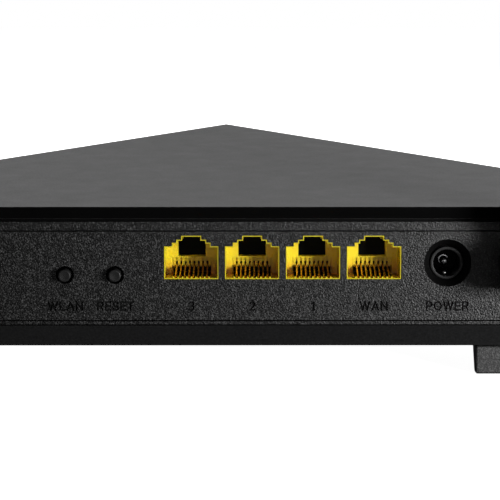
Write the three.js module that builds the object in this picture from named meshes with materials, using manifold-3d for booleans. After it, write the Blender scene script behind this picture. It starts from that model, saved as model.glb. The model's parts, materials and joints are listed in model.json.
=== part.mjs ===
// A desktop wireless router with a delta-shaped lid, a rear row of sockets and two folding aerials.
// Millimetres, +Z up. While building, the rear port panel's face is the plane y = 0, the sockets face
// -y and the nose points along +y. The last lines move the origin to the middle of the footprint.

import * as THREE from 'three';
import { ConvexGeometry } from 'three/addons/geometries/ConvexGeometry.js';
import { mergeVertices } from 'three/addons/utils/BufferGeometryUtils.js';
import Module from 'manifold-3d';

const wasm = await Module();
wasm.setup();

// ---- Driving dimensions -------------------------------------------------------------------------

const GAP = 0.3; // between neighbouring pieces
const THROUGH = 1; // how far a cutter runs past the surface it opens
const WALL = 2.2;
const HIDDEN_SIDES = 12; // facets of the round pieces that nobody sees

// Plan of the case: a triangle with its three corners clipped.
const HALF_WIDTH = 116;
const NOSE_Y = 142.5; // where the two flanks would meet
const FRONT_Y = 138; // flat clip of the nose
const FLANK_SLOPE = 1.066; // y lost per x along a flank
const CORNER_CLIP = 4;

// Heights of the stack of shells.
const FOOT_HEIGHT = 6.84;
const BASE_TOP = 11.9;
const BASE_TAPER = 2.5; // how much the base narrows towards the desk
const HOUSING_BOTTOM = BASE_TOP + GAP;
const HOUSING_TOP = 35.9;
const LID_BOTTOM = 36.75;

// The lid: one flat sloping face whose outline is a triangle, with bevels below its two creases.
const LID_REAR_Y = -2.5;
const LID_REAR_Z = 39.6;
const LID_LIP_Y = -0.9;
const LID_SLOPE = Math.tan(THREE.MathUtils.degToRad(5));
const APEX_Y = 125;
const CREASE_HALF_WIDTH = 112;
const CREASE_END_Y = 5.6;

// The rear port panel and what shows through it.
const PANEL_HALF_WIDTH = 65;
const PANEL_BOTTOM = 13.2;
const PANEL_TOP = 33.65;
const SOCKET_PITCH = 13.97;
const SOCKET_FIRST_X = -6.9;
const SOCKET_COUNT = 4;
const SOCKET_BOTTOM = 22.68;
// Half width and top height of each step of a socket's cut-out, from the widest up to the latch slot.
const SOCKET_STEPS = [
  { half: 6.225, top: 30.24 },
  { half: 4.45, top: 31.09 },
  { half: 3.425, top: 31.76 },
  { half: 2.3, top: 32.68 },
];
const SOCKET_RIM = 0.3; // how much smaller the socket's cavity is than the panel's cut-out
const BUTTON_X = { wlan: -35.87, reset: -24.37 };
const BUTTON_Z = 23.67;
const BUTTON_RADIUS = 1.4;
const BUTTON_HOLE_RADIUS = 2.08;
const BUTTON_PROUD = 2;
const BUTTON_TRAVEL = 0.6;
const POWER_X = 51.9;
const POWER_Z = 26.4;

// The circuit board.
const BOARD_BOTTOM = 20.1;
const BOARD_TOP = 21.7;
const BOARD_REAR_Y = 4.6;
const ON_BOARD = BOARD_TOP + GAP;

// The aerials: a turntable in the rear wall, a fork, a pin and a blade.
const AERIAL_X = 71.5;
const AERIAL_Z = 26.4;
const AERIAL_DISC_RADIUS = 8;
const AERIAL_HOLE_RADIUS = 5;
const PIVOT_Y = -10.5;
const KNUCKLE_RADIUS = 6;
const TONGUE_HALF = 4;
const PIN_RADIUS = 1.5;
const BLADE_START = 8.6; // above the pivot
const BLADE_END = 158;
const TIP_END = 163;

// ---- Materials ----------------------------------------------------------------------------------

const material = (color, roughness, metalness = 0) =>
  new THREE.MeshStandardMaterial({ color, roughness, metalness });

const finish = {
  lid: material(0x5d5d61, 0.55),
  textured: material(0x2c2c2e, 0.75),
  smooth: material(0x1b1b1c, 0.5),
  aerial: material(0x1e1e20, 0.6),
  rubber: material(0x2a2a2b, 0.9),
  buttonGrey: material(0x464648, 0.6),
  socket: material(0xe6c619, 0.4),
  gold: material(0xd9a441, 0.3, 1),
  steel: material(0xb8babd, 0.35, 1),
  ring: material(0x4a4a4c, 0.5),
  board: material(0x1d5a3a, 0.55),
  chip: material(0x161618, 0.5),
  alloy: material(0xc4c6c9, 0.4, 0.9),
  can: material(0x2b3f73, 0.4),
  clear: material(0xe8f2f5, 0.2),
  cable: material(0x3a3a3c, 0.6),
};

// ---- Solid tools --------------------------------------------------------------------------------

function solid(geometry) {
  geometry.deleteAttribute('normal');
  geometry.deleteAttribute('uv');
  const merged = mergeVertices(geometry, 1e-4);
  return new wasm.Manifold(new wasm.Mesh({
    numProp: 3,
    vertProperties: new Float32Array(merged.attributes.position.array),
    triVerts: new Uint32Array(merged.index.array),
  }));
}

function box(x0, x1, y0, y1, z0, z1) {
  const geometry = new THREE.BoxGeometry(x1 - x0, y1 - y0, z1 - z0);
  return solid(geometry.translate((x0 + x1) / 2, (y0 + y1) / 2, (z0 + z1) / 2));
}

// A cylinder or cone along one axis, from one end to the other.
function cylinder(axis, [x, y, z], from, to, startRadius, endRadius = startRadius, sides = 32) {
  const geometry = new THREE.CylinderGeometry(endRadius, startRadius, to - from, sides);
  geometry.translate(0, (from + to) / 2, 0);
  if (axis === 'x') geometry.rotateZ(-Math.PI / 2);
  if (axis === 'z') geometry.rotateX(Math.PI / 2);
  return solid(geometry.translate(x, y, z));
}

// A round post or hole along z at a place in the plan.
const upright = ([x, y], from, to, radius, sides = HIDDEN_SIDES) =>
  cylinder('z', [x, y, 0], from, to, radius, radius, sides);

const convex = (points) => solid(new ConvexGeometry(points.map((p) => new THREE.Vector3(...p))));

// A flat outline, drawn in x and y, raised from z0 to z1.
function slab(points, z0, z1) {
  const shape = new THREE.Shape(points.map(([x, y]) => new THREE.Vector2(x, y)));
  const geometry = new THREE.ExtrudeGeometry(shape, { depth: z1 - z0, bevelEnabled: false });
  return solid(geometry.translate(0, 0, z0));
}

// A flat outline, drawn in x and z, running from y0 to y1.
function rearSlab(points, y0, y1) {
  const shape = new THREE.Shape(points.map(([x, z]) => new THREE.Vector2(x, z)));
  const geometry = new THREE.ExtrudeGeometry(shape, { depth: y1 - y0, bevelEnabled: false });
  return solid(geometry.rotateX(Math.PI / 2).translate(0, y1, 0));
}

const union = (pieces) => pieces.reduce((whole, piece) => whole.add(piece));
const cut = (body, cutters) => cutters.reduce((left, cutter) => left.subtract(cutter), body);

function meshOf(body, name, look) {
  const { vertProperties, triVerts } = body.getMesh();
  const geometry = new THREE.BufferGeometry();
  geometry.setAttribute('position', new THREE.BufferAttribute(vertProperties, 3));
  geometry.setIndex(new THREE.BufferAttribute(triVerts, 1));
  geometry.computeVertexNormals();
  const mesh = new THREE.Mesh(geometry, look);
  mesh.name = name;
  return mesh;
}

const router = new THREE.Group();
const addPiece = (name, look, body) => router.add(meshOf(body, name, look));

const SIDES = [{ side: 'left', sign: -1 }, { side: 'right', sign: 1 }];
const mirrored = (points) => [...points, ...points.map(([x, ...rest]) => [-x, ...rest]).reverse()];

// ---- The plan outline ---------------------------------------------------------------------------

const flankY = (x, inset) => NOSE_Y - FLANK_SLOPE * x - inset * Math.hypot(1, FLANK_SLOPE);
const flankX = (y, inset) => (flankY(0, inset) - y) / FLANK_SLOPE;

// The case's plan, moved inwards by inset all round.
function outline(inset) {
  const side = HALF_WIDTH - inset;
  const front = FRONT_Y - inset;
  return mirrored([
    [side - CORNER_CLIP, inset],
    [side, inset + CORNER_CLIP],
    [side, flankY(side, inset)],
    [flankX(front, inset), front],
  ]);
}

const atHeight = (points, z) => points.map(([x, y]) => [x, y, z]);
const lidZ = (y) => LID_REAR_Z + (y - LID_REAR_Y) * LID_SLOPE;

// ---- Shells -------------------------------------------------------------------------------------

const SCREW_PLACES = [[-100, 13], [100, 13], [-22, 104], [22, 104]];
const SCREW_RADIUS = 1.5;
const BOSS_RADIUS = 4.5;
const SCREW_TOP = 24;
const SCREW_SEAT = FOOT_HEIGHT + 1.4; // top of the recess that hides a screw's head
const SCREW_RECESS_RADIUS = 3.3;

function lid() {
  const crease = mirrored([
    [CREASE_HALF_WIDTH, LID_REAR_Y, LID_REAR_Z],
    [CREASE_HALF_WIDTH, CREASE_END_Y, lidZ(CREASE_END_Y)],
  ]);
  const lip = mirrored([[CREASE_HALF_WIDTH, LID_LIP_Y, LID_BOTTOM]]);
  const outside = convex([
    ...crease, [0, APEX_Y, lidZ(APEX_Y)], ...lip, ...atHeight(outline(0), LID_BOTTOM),
  ]);
  const roof = mirrored([
    [CREASE_HALF_WIDTH - 4, WALL, lidZ(WALL) - WALL],
    [CREASE_HALF_WIDTH - 4, CREASE_END_Y, lidZ(CREASE_END_Y) - WALL],
  ]);
  const inside = convex([
    ...roof, [0, APEX_Y - 4, lidZ(APEX_Y - 4) - WALL],
    ...atHeight(outline(WALL), LID_BOTTOM), ...atHeight(outline(WALL), LID_BOTTOM - THROUGH),
  ]);
  // The tongue drops inside the housing wall and locates the lid.
  const tongueTop = LID_BOTTOM + 0.6;
  const tongueBottom = HOUSING_TOP - 1.6;
  const tongue = slab(outline(WALL - 0.1), LID_BOTTOM + 0.05, tongueTop)
    .add(slab(outline(WALL + GAP), tongueBottom, tongueTop));
  const hollow = slab(outline(2 * WALL), tongueBottom - THROUGH, tongueTop + THROUGH);
  return cut(outside, [inside]).add(cut(tongue, [hollow]));
}

function housing() {
  const wall = cut(slab(outline(0), HOUSING_BOTTOM, HOUSING_TOP), [
    slab(outline(WALL), HOUSING_BOTTOM - THROUGH, HOUSING_TOP + THROUGH),
  ]);
  const bosses = SCREW_PLACES.map(([x, y]) => {
    const reach = Math.sign(x) * 14;
    const rib = box(Math.min(x, x + reach), Math.max(x, x + reach), y - 1, y + 1, HOUSING_BOTTOM, 18);
    return upright([x, y], HOUSING_BOTTOM, SCREW_TOP + 2, BOSS_RADIUS).add(rib);
  });
  const trimmed = union(bosses).intersect(slab(outline(WALL / 2), HOUSING_BOTTOM, HOUSING_TOP));
  const pilots = SCREW_PLACES.map((place) =>
    upright(place, HOUSING_BOTTOM - THROUGH, SCREW_TOP + 1, SCREW_RADIUS + GAP));
  const panelOpening = box(
    -PANEL_HALF_WIDTH - GAP, PANEL_HALF_WIDTH + GAP, -THROUGH, WALL + THROUGH,
    PANEL_BOTTOM - GAP, PANEL_TOP + GAP,
  );
  const aerialHoles = SIDES.map(({ sign }) =>
    cylinder('y', [sign * AERIAL_X, 0, AERIAL_Z], -THROUGH, WALL + THROUGH, AERIAL_HOLE_RADIUS));
  const lightWindow = box(-LIGHT_HALF - GAP, LIGHT_HALF + GAP, FRONT_Y - WALL - THROUGH,
    FRONT_Y + THROUGH, LIGHT_Z - LIGHT_HALF_HEIGHT - GAP, LIGHT_Z + LIGHT_HALF_HEIGHT + GAP);
  return cut(wall.add(trimmed), [
    ...pilots, panelOpening, ...aerialHoles, lightWindow, ...flankVents(),
  ]);
}

// Cooling slots: upright slits through both flanks of the housing.
const VENT_COUNT = 14;
const VENT_STEP = 5.2;
const VENT_WIDTH = 2;
const VENT_HEIGHTS = [17, 31];

function flankVents() {
  const along = new THREE.Vector2(-1, FLANK_SLOPE).normalize();
  const middle = { x: HALF_WIDTH / 2, y: flankY(HALF_WIDTH / 2, WALL / 2) };
  const vents = [];
  for (const { sign } of SIDES) {
    for (let i = 0; i < VENT_COUNT; i += 1) {
      const offset = (i - (VENT_COUNT - 1) / 2) * VENT_STEP;
      const slot = new THREE.BoxGeometry(VENT_WIDTH, 3 * WALL, VENT_HEIGHTS[1] - VENT_HEIGHTS[0]);
      slot.rotateZ(sign * Math.atan2(along.y, along.x));
      slot.translate(
        sign * (middle.x + along.x * offset), middle.y + along.y * offset,
        (VENT_HEIGHTS[0] + VENT_HEIGHTS[1]) / 2,
      );
      vents.push(solid(slot));
    }
  }
  return vents;
}

function base() {
  const outside = convex([
    ...atHeight(outline(0), BASE_TOP), ...atHeight(outline(BASE_TAPER), FOOT_HEIGHT),
  ]);
  const floorTop = FOOT_HEIGHT + WALL;
  const inside = slab(outline(BASE_TAPER + WALL), floorTop, BASE_TOP + THROUGH);
  const pillars = SCREW_PLACES.map((place) =>
    upright(place, FOOT_HEIGHT + 0.5, BASE_TOP, BOSS_RADIUS));
  const standoffs = STANDOFF_PLACES.map((place) =>
    upright(place, FOOT_HEIGHT + 0.5, BOARD_BOTTOM - GAP, STANDOFF_RADIUS));
  const pegs = STANDOFF_PLACES.map((place) =>
    upright(place, BOARD_BOTTOM - 2, BOARD_TOP + 1, PEG_RADIUS));
  const screwHoles = SCREW_PLACES.flatMap((place) => [
    upright(place, FOOT_HEIGHT - THROUGH, BASE_TOP + THROUGH, SCREW_RADIUS + GAP),
    upright(place, FOOT_HEIGHT - THROUGH, SCREW_SEAT, SCREW_RECESS_RADIUS, 24),
  ]);
  return cut(cut(outside, [inside]).add(union([...pillars, ...standoffs, ...pegs])), [
    ...screwHoles, ...floorVents(),
  ]);
}

const FLOOR_VENT_COUNT = 11;
const FLOOR_VENT_STEP = 6;

function floorVents() {
  const vents = [];
  for (let i = 0; i < FLOOR_VENT_COUNT; i += 1) {
    const x = (i - (FLOOR_VENT_COUNT - 1) / 2) * FLOOR_VENT_STEP;
    vents.push(box(x - 1.1, x + 1.1, 38, 72, FOOT_HEIGHT - THROUGH, FOOT_HEIGHT + WALL + THROUGH));
  }
  return vents;
}

// A foot is a wedge: upright at its rear, and sloped in front so that its sole is shallower than its top.
function foot(x0, x1, y0, y1, soleEnd) {
  const plan = (end) => [[x0, y0], [x1, y0], [x1, end], [x0, end]];
  return convex([...atHeight(plan(y1), FOOT_HEIGHT - GAP), ...atHeight(plan(soleEnd), 0)]);
}

function caseScrew([x, y]) {
  const headTop = SCREW_SEAT - GAP;
  const shaft = upright([x, y], headTop - 0.8, SCREW_TOP, SCREW_RADIUS);
  const head = cylinder('z', [x, y, 0], FOOT_HEIGHT + 0.1, headTop, 2.6, 2.8, 20);
  const slot = box(x - 1.6, x + 1.6, y - 0.35, y + 0.35, FOOT_HEIGHT - 0.5, FOOT_HEIGHT + 0.6);
  const cross = box(x - 0.35, x + 0.35, y - 1.6, y + 1.6, FOOT_HEIGHT - 0.5, FOOT_HEIGHT + 0.6);
  return cut(shaft.add(head), [slot, cross]);
}

// ---- The rear port panel ------------------------------------------------------------------------

// The stepped mouth of a socket, as a closed outline in x and z, shrunk by inset all round.
function mouth(centre, inset) {
  const right = [[SOCKET_STEPS[0].half - inset, SOCKET_BOTTOM + inset]];
  SOCKET_STEPS.forEach(({ half, top }, i) => {
    right.push([half - inset, top - inset]);
    if (i + 1 < SOCKET_STEPS.length) right.push([SOCKET_STEPS[i + 1].half - inset, top - inset]);
  });
  return mirrored(right).map(([x, z]) => [centre + x, z]);
}

const socketX = (i) => SOCKET_FIRST_X + i * SOCKET_PITCH;
const eachSocket = (make) => Array.from({ length: SOCKET_COUNT }, (_, i) => make(socketX(i), i));

const POWER_HOLE = { front: 5.45, rear: 4.1 };

function portPanel() {
  const plate = box(-PANEL_HALF_WIDTH, PANEL_HALF_WIDTH, 0, WALL, PANEL_BOTTOM, PANEL_TOP);
  const grow = (POWER_HOLE.front - POWER_HOLE.rear) / WALL;
  return cut(plate, [
    ...eachSocket((x) => rearSlab(mouth(x, 0), -THROUGH, WALL + THROUGH)),
    ...Object.values(BUTTON_X).map((x) =>
      cylinder('y', [x, 0, BUTTON_Z], -THROUGH, WALL + THROUGH, BUTTON_HOLE_RADIUS)),
    cylinder('y', [POWER_X, 0, POWER_Z], -THROUGH, WALL + THROUGH,
      POWER_HOLE.front + grow * THROUGH, POWER_HOLE.rear - grow * THROUGH, 48),
  ]);
}

// ---- Sockets ------------------------------------------------------------------------------------

const SOCKET_FRONT_Y = WALL + GAP;
const SOCKET_DEPTH = 17;
const SOCKET_TOP = 33.5;
const SOCKET_HALF = 6.8;
const CAVITY_DEPTH = 9.6;
const WIRE_COUNT = 8;
const WIRE_PITCH = 1.02;
const WIRE_SLOT = { half: 4.5, low: 23.0, high: 25.3 };

// A moulded socket body: a stepped cavity, with a slot in its back wall where the wires come through
// and a chamber behind it, open at the rear, that holds their carrier.
function socketBody(x) {
  const block = box(x - SOCKET_HALF, x + SOCKET_HALF, SOCKET_FRONT_Y, SOCKET_FRONT_Y + SOCKET_DEPTH,
    ON_BOARD, SOCKET_TOP);
  const cavityEnd = SOCKET_FRONT_Y + CAVITY_DEPTH;
  const rear = SOCKET_FRONT_Y + SOCKET_DEPTH + THROUGH;
  return cut(block, [
    rearSlab(mouth(x, SOCKET_RIM), SOCKET_FRONT_Y - THROUGH, cavityEnd),
    box(x - WIRE_SLOT.half, x + WIRE_SLOT.half, cavityEnd - 1, rear, WIRE_SLOT.low, WIRE_SLOT.high),
    box(x - 5.4, x + 5.4, cavityEnd + 1.6, rear, WIRE_SLOT.low, SOCKET_TOP - 1.4),
  ]);
}

// Eight spring wires rising from the sill of the cavity to a carrier bar behind its back wall.
function socketContacts(x) {
  const frontY = SOCKET_FRONT_Y + 1.2;
  const rearY = SOCKET_FRONT_Y + CAVITY_DEPTH + 3;
  const [frontZ, rearZ] = [SOCKET_BOTTOM + SOCKET_RIM + 0.35, 24.9];
  const halfWire = 0.2;
  const wires = Array.from({ length: WIRE_COUNT }, (_, i) => {
    const centre = x + (i - (WIRE_COUNT - 1) / 2) * WIRE_PITCH;
    return convex([frontZ, frontZ + 0.35].flatMap((z) => [
      [centre - halfWire, frontY, z], [centre + halfWire, frontY, z],
      [centre - halfWire, rearY, z + rearZ - frontZ - 0.3],
      [centre + halfWire, rearY, z + rearZ - frontZ - 0.3],
    ]));
  });
  const carrier = box(x - 4.2, x + 4.2, rearY - 0.4, rearY + 2.2, WIRE_SLOT.low + GAP, 28);
  return union([...wires, carrier]);
}

// ---- Power inlet --------------------------------------------------------------------------------

const INLET_FRONT_Y = WALL + GAP;
const INLET_COLLAR = { outer: 3.75, inner: 3.1, depth: 1.2 };
const INLET_BORE_DEPTH = 9.2;
const INLET_LENGTH = 14;

function inletBody() {
  const faceY = INLET_FRONT_Y + INLET_COLLAR.depth;
  const endY = INLET_FRONT_Y + INLET_LENGTH;
  const block = box(POWER_X - 4.5, POWER_X + 4.5, faceY, endY, ON_BOARD, 31.4);
  const collar = cylinder('y', [POWER_X, 0, POWER_Z], INLET_FRONT_Y, faceY + 1, INLET_COLLAR.outer,
    INLET_COLLAR.outer, 48);
  const bore = cylinder('y', [POWER_X, 0, POWER_Z], INLET_FRONT_Y - THROUGH,
    INLET_FRONT_Y + INLET_BORE_DEPTH, INLET_COLLAR.inner, INLET_COLLAR.inner, 48);
  const pinHole = cylinder('y', [POWER_X, 0, POWER_Z], faceY, endY + THROUGH, PIN_BASE_RADIUS + GAP);
  const springSlot = box(POWER_X - 1.3, POWER_X + 1.3, faceY + 0.8, endY + THROUGH, 22.6, 23.7);
  return cut(block.add(collar), [bore, pinHole, springSlot]);
}

const PIN_BASE_RADIUS = 1.35;

function inletPin() {
  const tipY = INLET_FRONT_Y + 4.4;
  const baseY = INLET_FRONT_Y + INLET_BORE_DEPTH;
  const at = [POWER_X, 0, POWER_Z];
  return union([
    cylinder('y', at, tipY, tipY + 0.8, 0.6, 1, 24),
    cylinder('y', at, tipY + 0.8, baseY, 1, 1, 24),
    cylinder('y', at, baseY - 0.6, INLET_FRONT_Y + INLET_LENGTH, PIN_BASE_RADIUS, PIN_BASE_RADIUS, 24),
  ]);
}

// A bent leaf under the bore that presses on the plug's sleeve.
function inletSpring() {
  const start = INLET_FRONT_Y + INLET_COLLAR.depth + 1.4;
  const end = INLET_FRONT_Y + INLET_LENGTH - 1;
  const leaf = [[start, 22.95], [start + 2.5, 23.95], [end - 3, 23.0], [end, 23.0],
    [end, 23.3], [end - 3, 23.3], [start + 2.5, 24.25], [start, 23.25]];
  const shape = new THREE.Shape(leaf.map(([y, z]) => new THREE.Vector2(y, z)));
  const geometry = new THREE.ExtrudeGeometry(shape, { depth: 1.8, bevelEnabled: false });
  geometry.rotateX(Math.PI / 2).rotateZ(Math.PI / 2);
  return solid(geometry.translate(POWER_X - 0.9, 0, 0));
}

// ---- Buttons ------------------------------------------------------------------------------------

const FLANGE_Y = WALL + GAP;
const FLANGE_END_Y = FLANGE_Y + 1;
const FLANGE_RADIUS = 2.7; // wider than the hole, so that the cap can't fall out
const CAP_END_Y = 5;
const SWITCH_FRONT_Y = CAP_END_Y + GAP + BUTTON_TRAVEL + 1;
const SWITCH_LENGTH = 3.6;
const PLUNGER_RADIUS = 0.9;
const PLUNGER_DEPTH = 1.2; // how far the plunger reaches into its switch at rest

function buttonCap(x) {
  const at = [x, 0, BUTTON_Z];
  return union([
    cylinder('y', at, -BUTTON_PROUD, CAP_END_Y, BUTTON_RADIUS, BUTTON_RADIUS, 24),
    cylinder('y', at, FLANGE_Y, FLANGE_END_Y, FLANGE_RADIUS, FLANGE_RADIUS, 24),
  ]);
}

function switchPlunger(x) {
  return cylinder('y', [x, 0, BUTTON_Z], CAP_END_Y + GAP, SWITCH_FRONT_Y + PLUNGER_DEPTH,
    PLUNGER_RADIUS, PLUNGER_RADIUS, HIDDEN_SIDES);
}

function switchBody(x) {
  const block = box(x - 3, x + 3, SWITCH_FRONT_Y, SWITCH_FRONT_Y + SWITCH_LENGTH, ON_BOARD, BUTTON_Z + 2.4);
  const boreEnd = SWITCH_FRONT_Y + PLUNGER_DEPTH + BUTTON_TRAVEL + GAP;
  return cut(block, [
    cylinder('y', [x, 0, BUTTON_Z], SWITCH_FRONT_Y - THROUGH, boreEnd,
      PLUNGER_RADIUS + GAP, PLUNGER_RADIUS + GAP, HIDDEN_SIDES),
  ]);
}

// ---- Circuit board and what it carries ----------------------------------------------------------

const STANDOFF_PLACES = [[-84, 12], [84, 12], [-34, 82], [34, 82]];
const STANDOFF_RADIUS = 2.9;
const PEG_RADIUS = 1.2;
const LIGHT_HALF = 2.4;
const LIGHT_HALF_HEIGHT = 0.8;
const LIGHT_Z = 24;

function board() {
  // The rear edge steps forward at both ends, clear of the aerials' shafts.
  const plan = mirrored([[61, BOARD_REAR_Y], [61, 8], [91, 8], [91, 26], [30, 96]]);
  return cut(slab(plan, BOARD_BOTTOM, BOARD_TOP), STANDOFF_PLACES.map((place) =>
    upright(place, BOARD_BOTTOM - THROUGH, BOARD_TOP + THROUGH, PEG_RADIUS + GAP)));
}

// A box standing on the board: centre in x and y, size in x and y, height.
const onBoard = (x, y, w, d, h, lift = 0) =>
  box(x - w / 2, x + w / 2, y - d / 2, y + d / 2, ON_BOARD + lift, ON_BOARD + lift + h);

const PROCESSOR = { x: 4, y: 48, size: 15, height: 1.1 };

function heatSink() {
  const { x, y, height } = PROCESSOR;
  const lift = height + GAP;
  const fins = Array.from({ length: 8 }, (_, i) => onBoard(x - 12.6 + i * 3.6, y, 1.2, 26, 8.5, lift));
  return union([onBoard(x, y, 28, 26, 1.8, lift), ...fins]);
}

// ---- Aerials ------------------------------------------------------------------------------------

const CORNER_STEPS = 3;

// A rounded rectangle in x and y at height z, centred on (x, y).
function roundedRing([x, y, z], width, depth, radius) {
  const points = [];
  for (const [sx, sy, start] of [[1, 1, 0], [-1, 1, 1], [-1, -1, 2], [1, -1, 3]]) {
    for (let step = 0; step <= CORNER_STEPS; step += 1) {
      const angle = (start + step / CORNER_STEPS) * (Math.PI / 2);
      points.push([
        x + sx * (width / 2 - radius) + radius * Math.cos(angle),
        y + sy * (depth / 2 - radius) + radius * Math.sin(angle), z,
      ]);
    }
  }
  return points;
}

const DISC_FACE_Y = -3.9;
const GROOVE_RADIUS = 3.8; // of the shaft where the retaining ring sits
const LEAD_BORE_RADIUS = 1.2;
const BLADE_RINGS = [
  { height: BLADE_START, width: 13.4, depth: 7.4 },
  { height: BLADE_START + 4, width: 15, depth: 8.4 },
  { height: BLADE_END, width: 12.6, depth: 7.4 },
];

// The turntable: a disc outside the wall, a shaft through it, and two ears that carry the pin.
function knuckle(x) {
  const at = [x, 0, AERIAL_Z];
  const inEar = TONGUE_HALF + GAP;
  const outEar = inEar + 3;
  const ears = [[-outEar, -inEar], [inEar, outEar]].map(([from, to]) =>
    cylinder('x', [x, PIVOT_Y, AERIAL_Z], from, to, KNUCKLE_RADIUS, KNUCKLE_RADIUS, 24)
      .add(box(x + from, x + to, PIVOT_Y, -2, AERIAL_Z - KNUCKLE_RADIUS, AERIAL_Z + KNUCKLE_RADIUS))
      .intersect(cylinder('y', at, PIVOT_Y - KNUCKLE_RADIUS - 1, 0, AERIAL_DISC_RADIUS)));
  const turned = [
    cylinder('y', at, DISC_FACE_Y, -GAP - 0.2, AERIAL_DISC_RADIUS - 0.4, AERIAL_DISC_RADIUS),
    cylinder('y', at, -1, WALL + GAP, AERIAL_HOLE_RADIUS - GAP, AERIAL_HOLE_RADIUS - GAP, 24),
    cylinder('y', at, WALL, 4.8, GROOVE_RADIUS, GROOVE_RADIUS, 16),
    cylinder('y', at, 4.5, 6.2, AERIAL_HOLE_RADIUS - GAP, GROOVE_RADIUS, 16),
  ];
  return cut(union([...turned, ...ears]), [
    cylinder('y', at, -5, 7, LEAD_BORE_RADIUS, LEAD_BORE_RADIUS, HIDDEN_SIDES),
    cylinder('x', [x, PIVOT_Y, AERIAL_Z], -9, 9, PIN_RADIUS + GAP, PIN_RADIUS + GAP, 20),
  ]);
}

function retainingRing(x) {
  const at = [x, 0, AERIAL_Z];
  const inner = GROOVE_RADIUS + GAP;
  return cut(cylinder('y', at, WALL + 0.5, 4.2, 6.4, 6.4, 20), [cylinder('y', at, 0, 6, inner, inner, 16)]);
}

const hingePin = (x) => cylinder('x', [x, PIVOT_Y, AERIAL_Z], -7.2, 7.2, PIN_RADIUS, PIN_RADIUS, 20);

function blade(x) {
  const pivot = [x, PIVOT_Y, AERIAL_Z];
  const rings = BLADE_RINGS.map(({ height, width, depth }) =>
    roundedRing([x, PIVOT_Y, AERIAL_Z + height], width, depth, 2.6));
  const hollow = [BLADE_START + 8, BLADE_END + THROUGH].map((height) =>
    roundedRing([x, PIVOT_Y, AERIAL_Z + height], 9.6, 4.4, 1));
  const tongueRadius = KNUCKLE_RADIUS - 0.2;
  const tongue = cylinder('x', pivot, -TONGUE_HALF, TONGUE_HALF, tongueRadius, tongueRadius, 24);
  const neck = box(x - TONGUE_HALF, x + TONGUE_HALF, PIVOT_Y - 3.4, PIVOT_Y + 3.4, AERIAL_Z,
    AERIAL_Z + BLADE_START + 1);
  return cut(union([convex(rings.flat()), tongue, neck]), [
    convex(hollow.flat()),
    cylinder('x', pivot, -9, 9, PIN_RADIUS + GAP / 2, PIN_RADIUS + GAP / 2, 20),
  ]);
}

function bladeTip(x) {
  const z = AERIAL_Z + BLADE_END + GAP;
  return convex([
    ...roundedRing([x, PIVOT_Y, z], 12.6, 7.4, 2.6),
    ...roundedRing([x, PIVOT_Y, z + 2.6], 12.2, 7, 2.6),
    ...roundedRing([x, PIVOT_Y, AERIAL_Z + TIP_END], 9.4, 4.6, 1.8),
  ]);
}

const bladeBoard = (x) => box(x - 3.6, x + 3.6, PIVOT_Y - 0.4, PIVOT_Y + 0.4,
  AERIAL_Z + BLADE_START + 20, AERIAL_Z + BLADE_END - 8);

// The lead from the turntable's shaft down to its solder pad on the board.
function aerialLead(x, sign) {
  const path = new THREE.CatmullRomCurve3([
    [x, 6.8, AERIAL_Z], [x, 9.5, AERIAL_Z], [x - sign * 3, 15, 25.2], [x - sign * 9, 20, 23.2],
    [x - sign * 14, 25, 22.75],
  ].map((p) => new THREE.Vector3(...p)));
  const section = new THREE.Shape().absarc(0, 0, 0.6, 0, 2 * Math.PI, false);
  const geometry = new THREE.ExtrudeGeometry(section, {
    steps: 14, curveSegments: 4, extrudePath: path, bevelEnabled: false,
  });
  return solid(geometry);
}

// ---- Assembly -----------------------------------------------------------------------------------

addPiece('top_cover', finish.lid, lid());
addPiece('middle_housing', finish.textured, housing());
addPiece('port_panel', finish.textured, portPanel());
addPiece('bottom_cover', finish.smooth, base());

addPiece('rear_foot_left', finish.rubber, foot(-82, -59, 3, 10.5, 6));
addPiece('rear_foot_right', finish.rubber, foot(59, 82, 3, 10.5, 6));
addPiece('front_foot_left', finish.rubber, foot(-36, -20, 84, 92, 87.5));
addPiece('front_foot_right', finish.rubber, foot(20, 36, 84, 92, 87.5));
SCREW_PLACES.forEach((place, i) => addPiece(`case_screw_${i + 1}`, finish.steel, caseScrew(place)));

const SOCKET_NAMES = ['lan3', 'lan2', 'lan1', 'wan'];
eachSocket((x, i) => {
  addPiece(`${SOCKET_NAMES[i]}_socket`, finish.socket, socketBody(x));
  addPiece(`${SOCKET_NAMES[i]}_contacts`, finish.gold, socketContacts(x));
});

addPiece('power_inlet', finish.ring, inletBody());
addPiece('power_inlet_pin', finish.steel, inletPin());
addPiece('power_inlet_spring', finish.steel, inletSpring());

for (const [name, x] of Object.entries(BUTTON_X)) {
  addPiece(`${name}_button_cap`, finish.buttonGrey, buttonCap(x));
  addPiece(`${name}_switch_plunger`, finish.chip, switchPlunger(x));
  addPiece(`${name}_switch_body`, finish.chip, switchBody(x));
}

addPiece('circuit_board', finish.board, board());
addPiece('processor_chip', finish.chip,
  onBoard(PROCESSOR.x, PROCESSOR.y, PROCESSOR.size, PROCESSOR.size, PROCESSOR.height));
addPiece('heat_sink', finish.alloy, heatSink());
addPiece('memory_chip', finish.chip, onBoard(30, 46, 10.5, 8, 1.1));
addPiece('flash_chip', finish.chip, onBoard(30, 60, 6, 8, 1.6));
addPiece('line_transformer_lan', finish.chip, onBoard(0.1, 28, 26, 9, 5.4));
addPiece('line_transformer_wan', finish.chip, onBoard(33, 28, 14, 9, 5.4));
addPiece('radio_shield_left', finish.alloy, onBoard(-38, 44, 24, 30, 2.6));
addPiece('radio_shield_right', finish.alloy, onBoard(54, 46, 22, 20, 2.6));
addPiece('smoothing_capacitor', finish.can, upright([62, 26], ON_BOARD, ON_BOARD + 9, 3.2, 20));
addPiece('power_inductor', finish.chip, onBoard(52, 27, 7, 7, 4));
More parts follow.
